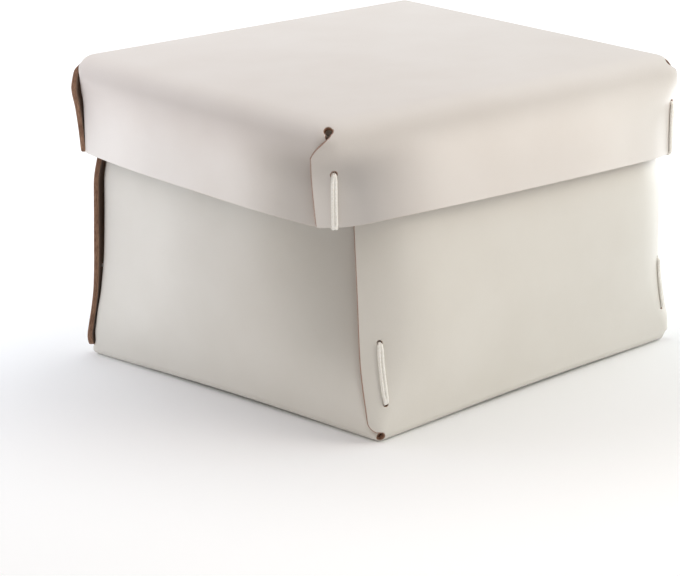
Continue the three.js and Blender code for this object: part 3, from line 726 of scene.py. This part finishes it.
def grain_material(name, color, dark):
    n = Nodes(name)
    uv = n.new("ShaderNodeUVMap", uv_map="flat").outputs["UV"]

    def tex(kind, scale, **more):
        node = n.new(kind, **more)
        node.inputs["Scale"].default_value = scale
        n.link(uv, node.inputs["Vector"])
        return node
    # soft pebble of the finished grain, cells about half a millimetre
    cells = tex("ShaderNodeTexVoronoi", 1500.0, feature="SMOOTH_F1")
    cells.inputs["Smoothness"].default_value = 0.9
    warp = tex("ShaderNodeTexNoise", 700.0)
    warp.inputs["Detail"].default_value = 3.0
    pores = tex("ShaderNodeTexNoise", 2600.0)
    pores.inputs["Detail"].default_value = 2.0
    broad = tex("ShaderNodeTexNoise", 22.0)
    broad.inputs["Detail"].default_value = 4.0
    broad.inputs["Roughness"].default_value = 0.55
    cloud = tex("ShaderNodeTexNoise", 6.0)
    cloud.inputs["Detail"].default_value = 2.0
    height = n.math("ADD", n.math("MULTIPLY", cells.outputs["Distance"], 1.0),
                    n.math("MULTIPLY", warp.outputs["Fac"], 0.9))
    height = n.math("ADD", height, n.math("MULTIPLY", pores.outputs["Fac"], 0.5))
    bump = n.new("ShaderNodeBump")
    bump.inputs["Strength"].default_value = 0.16
    bump.inputs["Distance"].default_value = 0.00012
    n.link(height, bump.inputs["Height"]).link(bump.outputs["Normal"], n.bsdf.inputs["Normal"])
    # colour: broad clouding, a little more tone in the pores, a burnished lip at a cut
    cut = n.new("ShaderNodeAttribute", attribute_name="cut", attribute_type="GEOMETRY").outputs["Fac"]
    tone = n.math("ADD", n.math("MULTIPLY", n.ramp(broad.outputs["Fac"], 0.3, 0.7), 0.25),
                  n.math("MULTIPLY", n.ramp(cloud.outputs["Fac"], 0.35, 0.65), 0.2))
    tone = n.math("ADD", tone, n.math("MULTIPLY", n.ramp(pores.outputs["Fac"], 0.62, 0.4), 0.18))
    base = n.mix(tone, color, dark)
    wear = n.math("MULTIPLY", n.ramp(cut, 0.30, 0.02), n.ramp(broad.outputs["Fac"], 0.2, 0.75))
    base = n.mix(n.math("MULTIPLY", wear, 0.75), base, srgb(176, 140, 116))
    # the finish is rubbed off the lip of the overlapping flaps
    flap = n.new("ShaderNodeAttribute", attribute_name="flap", attribute_type="GEOMETRY").outputs["Fac"]
    rubbed = n.math("MULTIPLY", n.ramp(cut, 0.72, 0.34), n.math("MULTIPLY", flap, n.ramp(warp.outputs["Fac"], -0.1, 0.5)))
    base = n.mix(n.math("MULTIPLY", rubbed, 0.9), base, srgb(154, 117, 100))
    n.link(base, n.bsdf.inputs["Base Color"])
    rough = n.math("ADD", n.math("MULTIPLY", broad.outputs["Fac"], 0.12),
                   n.math("ADD", n.math("MULTIPLY", pores.outputs["Fac"], 0.10), 0.42))
    n.link(rough, n.bsdf.inputs["Roughness"])
    n.bsdf.inputs["Specular IOR Level"].default_value = 0.34
    n.bsdf.inputs["Coat Weight"].default_value = 0.04
    n.bsdf.inputs["Coat Roughness"].default_value = 0.35
    return n.mat


def core_material(name):
    n = Nodes(name)
    uv = n.new("ShaderNodeUVMap", uv_map="flat").outputs["UV"]
    mp = n.new("ShaderNodeMapping")
    mp.inputs["Scale"].default_value = (260.0, 1500.0, 1.0)
    n.link(uv, mp.inputs["Vector"])
    fibre = n.new("ShaderNodeTexNoise")
    fibre.inputs["Scale"].default_value = 1.0
    fibre.inputs["Detail"].default_value = 5.0
    fibre.inputs["Roughness"].default_value = 0.65
    n.link(mp.outputs["Vector"], fibre.inputs["Vector"])
    blot = n.new("ShaderNodeTexNoise")
    blot.inputs["Scale"].default_value = 90.0
    blot.inputs["Detail"].default_value = 3.0
    n.link(uv, blot.inputs["Vector"])
    color = n.mix(n.ramp(fibre.outputs["Fac"], 0.32, 0.68), srgb(118, 86, 68), srgb(172, 136, 112))
    color = n.mix(n.math("MULTIPLY", n.ramp(blot.outputs["Fac"], 0.45, 0.75), 0.45), color, srgb(96, 66, 50))
    n.link(color, n.bsdf.inputs["Base Color"])
    bump = n.new("ShaderNodeBump")
    bump.inputs["Strength"].default_value = 0.5
    bump.inputs["Distance"].default_value = 0.00015
    n.link(fibre.outputs["Fac"], bump.inputs["Height"]).link(bump.outputs["Normal"], n.bsdf.inputs["Normal"])
    n.bsdf.inputs["Roughness"].default_value = 0.8
    n.bsdf.inputs["Specular IOR Level"].default_value = 0.25
    return n.mat


def flesh_material(name):
    n = Nodes(name)
    uv = n.new("ShaderNodeUVMap", uv_map="flat").outputs["UV"]
    nap = n.new("ShaderNodeTexNoise")
    nap.inputs["Scale"].default_value = 900.0
    nap.inputs["Detail"].default_value = 6.0
    nap.inputs["Roughness"].default_value = 0.7
    n.link(uv, nap.inputs["Vector"])
    broad = n.new("ShaderNodeTexNoise")
    broad.inputs["Scale"].default_value = 30.0
    broad.inputs["Detail"].default_value = 4.0
    n.link(uv, broad.inputs["Vector"])
    color = n.mix(n.ramp(broad.outputs["Fac"], 0.3, 0.7), srgb(150, 116, 92), srgb(176, 142, 116))
    color = n.mix(n.math("MULTIPLY", n.ramp(nap.outputs["Fac"], 0.55, 0.35), 0.45), color, srgb(116, 84, 64))
    n.link(color, n.bsdf.inputs["Base Color"])
    bump = n.new("ShaderNodeBump")
    bump.inputs["Strength"].default_value = 0.6
    bump.inputs["Distance"].default_value = 0.0002
    n.link(nap.outputs["Fac"], bump.inputs["Height"]).link(bump.outputs["Normal"], n.bsdf.inputs["Normal"])
    n.bsdf.inputs["Roughness"].default_value = 0.92
    n.bsdf.inputs["Specular IOR Level"].default_value = 0.2
    n.bsdf.inputs["Sheen Weight"].default_value = 0.25
    n.bsdf.inputs["Sheen Roughness"].default_value = 0.5
    return n.mat


def cord_material(name):
    n = Nodes(name)
    uv = n.new("ShaderNodeUVMap", uv_map="along").outputs["UV"]
    mp = n.new("ShaderNodeMapping")
    mp.inputs["Scale"].default_value = (900.0, 2600.0, 1.0)
    mp.inputs["Rotation"].default_value = (0.0, 0.0, 0.5)
    n.link(uv, mp.inputs["Vector"])
    fib = n.new("ShaderNodeTexNoise")
    fib.inputs["Scale"].default_value = 1.0
    fib.inputs["Detail"].default_value = 4.0
    n.link(mp.outputs["Vector"], fib.inputs["Vector"])
    color = n.mix(n.ramp(fib.outputs["Fac"], 0.35, 0.7), srgb(241, 237, 228), srgb(253, 252, 248))
    n.link(color, n.bsdf.inputs["Base Color"])
    bump = n.new("ShaderNodeBump")
    bump.inputs["Strength"].default_value = 0.2
    bump.inputs["Distance"].default_value = 0.0001
    n.link(fib.outputs["Fac"], bump.inputs["Height"]).link(bump.outputs["Normal"], n.bsdf.inputs["Normal"])
    n.bsdf.inputs["Roughness"].default_value = 0.38
    n.bsdf.inputs["Specular IOR Level"].default_value = 0.4
    return n.mat


body_grain = grain_material("body_grain", srgb(226, 223, 216), srgb(215, 211, 202))
lid_grain = grain_material("lid_grain", srgb(230, 225, 220), srgb(220, 213, 206))
core = core_material("leather_core")
flesh = flesh_material("leather_flesh")
cord = cord_material("waxed_cord")

body_ob = sheet_object("body_leather", body, body_corners, [body_grain, core, flesh])
lid_ob = sheet_object("lid_leather", lid, lid_corners, [lid_grain, core, flesh])


# ------------------------------------------------------------ laces
def resample(points, pitch):
    """Catmull-Rom through the points of a closed loop, then even spacing."""
    p = np.asarray(points, float)
    n = len(p)
    fine = []
    for i in range(n):
        p0, p1, p2, p3 = p[(i - 1) % n], p[i], p[(i + 1) % n], p[(i + 2) % n]
        d1, d2, d3 = (max(np.linalg.norm(q) ** 0.5, 1e-6) for q in (p1 - p0, p2 - p1, p3 - p2))
        t0, t1 = 0.0, d1
        t2 = t1 + d2
        t3 = t2 + d3
        for t in np.linspace(t1, t2, 13)[:-1]:
            a1 = (t1 - t) / (t1 - t0) * p0 + (t - t0) / (t1 - t0) * p1
            a2 = (t2 - t) / (t2 - t1) * p1 + (t - t1) / (t2 - t1) * p2
            a3 = (t3 - t) / (t3 - t2) * p2 + (t - t2) / (t3 - t2) * p3
            b1 = (t2 - t) / (t2 - t0) * a1 + (t - t0) / (t2 - t0) * a2
            b2 = (t3 - t) / (t3 - t1) * a2 + (t - t1) / (t3 - t1) * a3
            fine.append((t2 - t) / (t2 - t1) * b1 + (t - t1) / (t2 - t1) * b2)
    f = np.array(fine)
    seg = np.linalg.norm(np.roll(f, -1, 0) - f, axis=1)
    total = seg.sum()
    m = int(total / pitch)
    at = np.linspace(0, total, m + 1)[:-1]
    cum = np.concatenate([[0], np.cumsum(seg)])
    closed = np.vstack([f, f[:1]])
    return np.stack([np.interp(at, cum, closed[:, k]) for k in range(3)], 1), total


def frames(p, closed=True):
    """Parallel-transport frames along a path."""
    n = len(p)
    if closed:
        t = np.roll(p, -1, 0) - np.roll(p, 1, 0)
    else:
        t = np.gradient(p, axis=0)
    t /= np.linalg.norm(t, axis=1, keepdims=True)
    u = np.zeros_like(p)
    seed = np.array([0.0, 0.0, 1.0]) if abs(t[0, 2]) < 0.8 else np.array([1.0, 0.0, 0.0])
    u[0] = seed - t[0] * seed.dot(t[0])
    u[0] /= np.linalg.norm(u[0])
    for i in range(1, n):
        q = u[i - 1] - t[i] * u[i - 1].dot(t[i])
        u[i] = q / np.linalg.norm(q)
    if closed:
        # spread the leftover twist
        q = u[-1] - t[0] * u[-1].dot(t[0])
        q /= np.linalg.norm(q)
        ang = math.atan2(np.cross(q, u[0]).dot(t[0]), q.dot(u[0]))
        w = np.cross(t, u)
        a = np.linspace(0, ang, n)[:, None]
        u = u * np.cos(a) + w * np.sin(a)
    return t, u, np.cross(t, u)


def strand_mesh(parts, path, radius, closed=True, sides=16, plies=3, twist=0.42):
    """A twisted thread: its section has a lobe for each ply, and turns along the way."""
    t, u, w = frames(path, closed)
    n = len(path)
    seg = np.linalg.norm(np.roll(path, -1, 0) - path, axis=1)
    along = np.concatenate([[0], np.cumsum(seg)])[:n]
    total = seg.sum() if closed else along[-1]
    turns = round(total * twist / (2 * math.pi)) if closed else total * twist / (2 * math.pi)
    rate = turns * 2 * math.pi / total
    th = np.arange(sides) * 2 * math.pi / sides
    A, S = np.meshgrid(th, along, indexing="xy")
    lobe = 1 - 0.045 * (1 - np.abs(np.cos(plies / 2 * (A - rate * S)))) ** 1.3
    rad = radius if np.isscalar(radius) else np.asarray(radius)[:, None]
    r = rad * lobe
    P = path[:, None] + u[:, None] * (r * np.cos(A))[..., None] + w[:, None] * (r * np.sin(A))[..., None]
    base = parts["count"]
    parts["v"].append(P.reshape(-1, 3))
    parts["count"] += n * sides
    last = n if closed else n - 1
    i = np.arange(last)
    j = (i + 1) % n
    for k in range(sides):
        k2 = (k + 1) % sides
        parts["f"].append(np.stack([base + i * sides + k, base + i * sides + k2,
                                    base + j * sides + k2, base + j * sides + k], 1))
        u0, u1 = along[i], along[i] + seg[i]
        v0, v1 = k / sides * 6.28 * 0.8, (k + 1) / sides * 6.28 * 0.8
        parts["uv"].append(np.stack([np.stack([u0, np.full(last, v0)], 1), np.stack([u0, np.full(last, v1)], 1),
                                     np.stack([u1, np.full(last, v1)], 1), np.stack([u1, np.full(last, v0)], 1)], 1))
    if not closed:
        for row, inner in ((0, False), (n - 1, True)):
            ring = base + row * sides + np.arange(sides)
            parts["v"].append((path[row] + (t[row] if inner else -t[row]) * 0.45 * (radius if np.isscalar(radius) else radius[row]))[None])
            tip = parts["count"]
            parts["count"] += 1
            for k in range(sides):
                a, b = ring[k], ring[(k + 1) % sides]
                parts["cap"].append((a, b, tip) if inner else (b, a, tip))
    return parts


def lace_object(name, parts):
    P = np.concatenate(parts["v"])
    quad = np.concatenate(parts["f"])
    quv = np.concatenate(parts["uv"])
    cap = np.array(parts["cap"], int).reshape(-1, 3)
    mesh = bpy.data.meshes.new(name)
    mesh.vertices.add(len(P))
    mesh.vertices.foreach_set("co", (P * MM).astype(np.float32).ravel())
    mesh.loops.add(4 * len(quad) + 3 * len(cap))
    mesh.loops.foreach_set("vertex_index", np.concatenate([quad.ravel(), cap.ravel()]).astype(np.int32))
    mesh.polygons.add(len(quad) + len(cap))
    mesh.polygons.foreach_set("loop_start", np.concatenate(
        [np.arange(len(quad)) * 4, 4 * len(quad) + np.arange(len(cap)) * 3]).astype(np.int32))
    mesh.polygons.foreach_set("use_smooth", np.ones(len(quad) + len(cap), bool))
    layer = mesh.uv_layers.new(name="along")
    uv = np.concatenate([(quv.reshape(-1, 2) * MM).ravel(), np.zeros(6 * len(cap))]).astype(np.float32)
    layer.data.foreach_set("uv", uv)
    mesh.update(calc_edges=True)
    mesh.validate()
    mesh.materials.append(cord)
    ob = bpy.data.objects.new(name, mesh)
    bpy.context.scene.collection.objects.link(ob)
    return ob


CORD = 0.92          # radius of one strand
H = LEATHER / 2


def run_points(sheet, wall, a, b, side, shift, spread, ends):
    """A strand's run from a to b over one face; shift moves it sideways, spread says how far apart it stays there."""
    (s0, v0), (s1, v1) = a, b
    length = math.hypot(s1 - s0, v1 - v0)
    across = np.array([(v1 - v0) / length, -(s1 - s0) / length])
    d = np.array([0.9, 2.0, 3.6, 6.0, length * 0.35, length * 0.5, length * 0.65,
                  length - 6.0, length - 3.6, length - 2.0, length - 0.9])
    near = np.minimum(d if ends[0] else 99 + 0 * d, length - d if ends[1] else 99 + 0 * d)
    off = shift * (0.42 + (spread - 0.42) * step(near / 5.0))
    lift = H + CORD * (0.15 + 0.85 * step((near + 0.2) / 2.0))
    s = s0 + (s1 - s0) * d / length + across[0] * off
    v = v0 + (v1 - v0) * d / length + across[1] * off
    return list(sheet.point(np.full(len(d), wall), s, v, side * lift))


def body_lace(sheet, corner, name):
    low, high = corner
    wall = low[0][0]
    deep = -(H + CORD)
    bl = sheet.behind(*low[0], deep)
    bh = sheet.behind(*high[0], deep)
    parts = dict(v=[], f=[], uv=[], cap=[], count=0)
    for shift in (-1, 1):
        outer = run_points(sheet, wall, high[0][1:], low[0][1:], 1, shift, 0.80, (True, True))
        inner = run_points(sheet, bl[0], bl[1:3], bh[1:3], -1, shift, 0.80, (True, True))

        def across(front, k):
            p = sheet.mid(*front)
            q = p - sheet.normal(*front) * k
            e = sheet.mid(front[0], front[1] + 0.3, front[2]) - sheet.mid(front[0], front[1] - 0.3, front[2])
            e /= np.linalg.norm(e)
            return sheet.place(q + e * shift * 0.40)
        depth_l, depth_h = low[1][3], high[1][3]
        pts = outer + [across(low[0], 0.2), across(low[0], depth_l * 0.5), across(low[0], depth_l)] + inner
        pts += [across(high[0], depth_h), across(high[0], depth_h * 0.5), across(high[0], 0.2)]
        path, _ = resample(pts, 0.28)
        strand_mesh(parts, path, CORD)
    mid_s, mid_v = (bl[1] + bh[1]) / 2, (bl[2] + bh[2]) / 2
    knot(parts, sheet, bl[0], mid_s, mid_v, (bh[1] - bl[1], bh[2] - bl[2]))
    return lace_object(name, parts)


def lid_lace(sheet, corner, name):
    front, back = corner[0]
    wall, s, v = front
    deep = -(H + CORD)
    bh = sheet.behind(*front, deep)
    rim_s, rim_v = s * 1.004, sheet.top
    br = sheet.behind(wall, rim_s, rim_v - 0.5, deep)
    parts = dict(v=[], f=[], uv=[], cap=[], count=0)
    for shift in (-1, 1):
        outer = run_points(sheet, wall, (s, v), (rim_s, rim_v + 0.3), 1, shift, 0.80, (True, False))[:-1]
        inner = run_points(sheet, br[0], (br[1], rim_v + 0.3), bh[1:3], -1, shift, 0.80, (False, True))[1:]

        def around(k):
            a = sheet.point(wall, rim_s - shift * 0.8, rim_v, H * (1 - k))
            b = sheet.point(br[0], br[1] + shift * 0.8, rim_v, -H * k)
            p = a * (1 - k) + b * k
            p[2] = a[2] - CORD * 0.25
            return p

        def across(k):
            q = sheet.mid(*front) - sheet.normal(*front) * k
            e = sheet.mid(wall, s + 0.3, v) - sheet.mid(wall, s - 0.3, v)
            e /= np.linalg.norm(e)
            return sheet.place(q + e * shift * 0.40)
        depth = back[3]
        pts = outer + [around(0.0), around(0.5), around(1.0)] + inner
        pts += [across(depth), across(depth * 0.5), across(0.2)]
        path, _ = resample(pts, 0.28)
        strand_mesh(parts, path, CORD)
    k = 0.28
    knot(parts, sheet, br[0], bh[1] + (br[1] - bh[1]) * k, bh[2] + (rim_v - bh[2]) * k, (bh[1] - br[1], bh[2] - rim_v))
    return lace_object(name, parts)


def knot(parts, sheet, wall, s, v, direction):
    """An overhand knot lying on the inner run, with two short tails."""
    o = sheet.point(wall, s, v, -(H + 1.35))
    a = sheet.point(wall, s + 0.02 * direction[0], v + 0.02 * direction[1], -(H + 1.35)) - o
    a /= np.linalg.norm(a)
    n = sheet.turn_normal(-sheet.normal(wall, s, v))
    n = n - a * n.dot(a)
    n /= np.linalg.norm(n)
    x = np.cross(a, n)
    tt = np.linspace(0, 2 * math.pi, 90, endpoint=False)
    tre = np.stack([np.sin(tt) + 2 * np.sin(2 * tt), np.cos(tt) - 2 * np.cos(2 * tt), -np.sin(3 * tt)], 1)
    path = o + (tre[:, :1] * x * 0.46 + tre[:, 1:2] * a * 0.62 + tre[:, 2:] * n * 0.50)
    strand_mesh(parts, path, 0.62, sides=10)
    for sgn in (-1, 1):
        q = np.linspace(0, 1, 18)[:, None]
        start = o + x * sgn * 0.6 + n * 0.1
        tail = start + x * sgn * (3.0 * q) + a * (sgn * 1.2 * q - 4.2 * q ** 2) + n * (0.5 * np.sin(q * 3.0) - 0.35 * q)
        strand_mesh(parts, tail, np.linspace(0.6, 0.52, 18), closed=False, sides=10)


corner_name = {(0, -1): "front_right", (0, 1): "back_right", (2, -1): "back_left", (2, 1): "front_left"}
for corner in body_corners:
    key = corner_name[(corner[0][0][0], int(np.sign(corner[0][0][1])))]
    ob = body_lace(body, corner, f"body_cord_{key}")
    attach(ob, "box")
    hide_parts(f"body_lace_{key}")
for corner in lid_corners:
    key = corner_name[(corner[0][0][0], int(np.sign(corner[0][0][1])))]
    ob = lid_lace(lid, corner, f"lid_cord_{key}")
    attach(ob, "lid")
    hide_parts(f"lid_lace_{key}")

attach(body_ob, "box")
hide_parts("body_sheet")
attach(lid_ob, "lid")
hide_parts("lid_sheet")


def flat_area(sheet):
    p = outline(sheet)
    return abs(0.5 * np.sum(p[:, 0] * np.roll(p[:, 1], -1) - p[:, 1] * np.roll(p[:, 0], -1))) * 1e-6


for ob, sheet, rests in ((body_ob, body, []), (lid_ob, lid, ["body_leather"])):
    flat_area(sheet)


# ------------------------------------------------------------ floor, light, camera
floor_mat = Nodes("floor_white_painted_glow")
noise = floor_mat.new("ShaderNodeTexNoise")
noise.inputs["Scale"].default_value = 3.0
floor_mat.link(floor_mat.mix(noise.outputs["Fac"], (0.945, 0.96, 0.97, 1), (0.96, 0.97, 0.98, 1)), floor_mat.bsdf.inputs["Base Color"])
# painted light: the floor glows. There is no glow near the box, so the shade the box casts stays. The glow grows from a
# little way off and is much stronger far away, so the floor reads bright white.
place_on_floor = floor_mat.new("ShaderNodeNewGeometry").outputs["Position"]
away = floor_mat.new("ShaderNodeVectorMath")
away.operation = "DISTANCE"
away.inputs[1].default_value = (0.042, 0.022, 0.0)
floor_mat.link(place_on_floor, away.inputs[0])
painted_glow_near = floor_mat.new("ShaderNodeMapRange")
painted_glow_near.interpolation_type = "SMOOTHSTEP"
painted_glow_near.inputs["From Min"].default_value = 0.13
painted_glow_near.inputs["From Max"].default_value = 0.33
floor_mat.link(away.outputs["Value"], painted_glow_near.inputs["Value"])
# painted light: the far floor glows much more
far = floor_mat.new("ShaderNodeMapRange")
far.interpolation_type = "SMOOTHSTEP"
far.inputs["From Min"].default_value = 0.55
far.inputs["From Max"].default_value = 1.25
far.inputs["To Max"].default_value = 1.9
floor_mat.link(away.outputs["Value"], far.inputs["Value"])
# the two ramps make the floor's painted glow
floor_mat.link(floor_mat.math("ADD", painted_glow_near.outputs["Result"], far.outputs["Result"]), floor_mat.bsdf.inputs["Emission Color"])
floor_mat.bsdf.inputs["Emission Strength"].default_value = 0.14
floor_mat.bsdf.inputs["Roughness"].default_value = 0.9
floor_mat.bsdf.inputs["Specular IOR Level"].default_value = 0.1
mesh = bpy.data.meshes.new("floor")
mesh.from_pydata([(-9, -9, 0), (9, -9, 0), (9, 9, 0), (-9, 9, 0)], [], [(0, 1, 2, 3)])
mesh.materials.append(floor_mat.mat)
floor = bpy.data.objects.new("floor", mesh)
bpy.context.scene.collection.objects.link(floor)

VIEW = math.radians(46.06)                      # the camera looks this far round from +Y
RIGHT = (math.cos(VIEW), math.sin(VIEW), 0.0)
AHEAD = (-math.sin(VIEW), math.cos(VIEW), 0.0)

world = bpy.data.worlds.new("studio")
bpy.context.scene.world = world
world.use_nodes = True
wt = world.node_tree
bg = wt.nodes["Background"]
coord = wt.nodes.new("ShaderNodeTexCoord")


def wnode(kind, *inputs, op=None):
    node = wt.nodes.new(kind)
    if op:
        node.operation = op
    for i, x in enumerate(inputs):
        if x is None:
            continue
        if isinstance(x, (int, float, tuple)):
            node.inputs[i].default_value = x
        else:
            wt.links.new(x, node.inputs[i])
    return node


def wramp(value, lo, hi):
    node = wt.nodes.new("ShaderNodeMapRange")
    node.interpolation_type = "SMOOTHSTEP"
    node.inputs["From Min"].default_value = lo
    node.inputs["From Max"].default_value = hi
    wt.links.new(value, node.inputs["Value"])
    return node.outputs["Result"]


def wvec(op, *inputs):
    return wnode("ShaderNodeVectorMath", *inputs, op=op).outputs["Vector"]


def lobe(bearing, colour):
    """A quarter of the sky round the horizon, brightest at a bearing from straight ahead."""
    a = math.radians(bearing)
    towards = tuple(math.sin(a) * p + math.cos(a) * q for p, q in zip(RIGHT, AHEAD))
    dot = wnode("ShaderNodeVectorMath", level, towards, op="DOT_PRODUCT").outputs["Value"]
    share = wnode("ShaderNodeMath", wnode("ShaderNodeMath", dot, 0.0, op="MAXIMUM").outputs[0], 2.0,
                  op="POWER").outputs[0]
    return wvec("MULTIPLY", colour, share)


direction = coord.outputs["Generated"]
level = wvec("NORMALIZE", wvec("MULTIPLY", direction, (1.0, 1.0, 0.0)))
rise_z = wnode("ShaderNodeSeparateXYZ", direction).outputs["Z"]
top_share, mid_share = wramp(rise_z, 0.55, 0.95), wramp(rise_z, 0.15, 0.5)
# low down: bright behind and to the left, dark where the camera stands; higher up: bright at both sides
LOW = wvec("ADD", wvec("ADD", lobe(0, (0.66, 0.66, 0.71)), lobe(90, (0.07, 0.07, 0.04))), lobe(282, (1.02, 0.88, 0.69)))
MIDDLE = wvec("ADD", lobe(90, (2.54, 2.52, 2.49)), lobe(270, (1.21, 1.13, 1.05)))
OVERHEAD = (0.55, 0.533, 0.538)
sky = wvec("ADD", LOW, wvec("MULTIPLY", mid_share, wvec("SUBTRACT", MIDDLE, LOW)))
sky = wvec("ADD", sky, wvec("MULTIPLY", top_share, wvec("SUBTRACT", OVERHEAD, MIDDLE)))
wt.links.new(sky, bg.inputs["Color"])
bg.inputs["Strength"].default_value = 1.0


def panel(name, face, place, across, height, colour):
    """A soft light beside the box: side panels at `place` to the right, the top one at `place` high."""
    right, ahead, z = Vector(RIGHT), Vector(AHEAD), Vector((0, 0, 1))
    mid_a, mid_h = (across[0] + across[1]) / 2, (height[0] + height[1]) / 2
    if face == "side":
        centre = right * place + ahead * mid_a + z * mid_h
        back = right * math.copysign(1, place)
    else:
        centre = z * place + ahead * mid_a + right * mid_h
        back = z
    side = ahead
    data = bpy.data.lights.new(name, "AREA")
    data.shape = "RECTANGLE"
    data.size, data.size_y = across[1] - across[0], height[1] - height[0]
    data.energy = data.size * data.size_y * math.pi * 4 * max(colour)
    data.color = tuple(q / max(colour) for q in colour)
    ob = bpy.data.objects.new(name, data)
    ob.matrix_world = Matrix.Translation(centre) @ Matrix((side, back.cross(side), back)).transposed().to_4x4()
    ob.visible_camera = False
    bpy.context.scene.collection.objects.link(ob)


PANELS = [
    ("left_low", "side", -0.42, (-0.15, 0.15), (0.005, 0.20), (0.19, 0.237, 0.288)),
    ("left_high", "side", -0.42, (-0.15, 0.15), (0.20, 0.60), (0.175, 0.158, 0.192)),
    ("left_back", "side", -0.42, (0.15, 0.60), (0.20, 0.60), (0.23, 0.245, 0.27)),
    ("right_front_low", "side", 0.42, (-0.45, -0.15), (0.005, 0.20), (0.035, 0.045, 0.045)),
    ("right_front", "side", 0.42, (-0.45, -0.15), (0.20, 0.60), (0.50, 0.415, 0.34)),
    ("right_high", "side", 0.42, (-0.15, 0.15), (0.20, 0.60), (0.09, 0.12, 0.115)),
    ("right_back", "side", 0.42, (0.15, 0.60), (0.005, 0.20), (0.90, 0.95, 0.98)),
    ("top_back", "top", 0.62, (0.25, 0.60), (-0.42, 0.42), (0.40, 0.43, 0.45)),
]
for row in PANELS:
    panel(*row)

camera_data = bpy.data.cameras.new("camera")
camera_data.sensor_width = 36.0
camera_data.lens = 2802.2 / 680 * 36.0
camera_data.clip_end = 50
camera = bpy.data.objects.new("camera", camera_data)
bpy.context.scene.collection.objects.link(camera)
pitch, roll = math.radians(16.678), math.radians(-1.775)
spin = Matrix.Rotation(VIEW, 3, "Z")
ahead = Vector((0, math.cos(pitch), -math.sin(pitch)))
up = Vector((0, math.sin(pitch), math.cos(pitch)))
right = Vector((1, 0, 0))
image_right = math.cos(roll) * right + math.sin(roll) * up
image_up = -math.sin(roll) * right + math.cos(roll) * up
turn = Matrix((spin @ image_right, spin @ image_up, spin @ -ahead)).transposed()
camera.matrix_world = Matrix.Translation(spin @ Vector((-0.02127, -1.55731, 0.50261))) @ turn.to_4x4()
bpy.context.scene.camera = camera

scene = bpy.context.scene
scene.view_settings.view_transform = "Standard"
scene.view_settings.look = "None"
scene.view_settings.exposure = 0.0

bpy.context.view_layer.update()
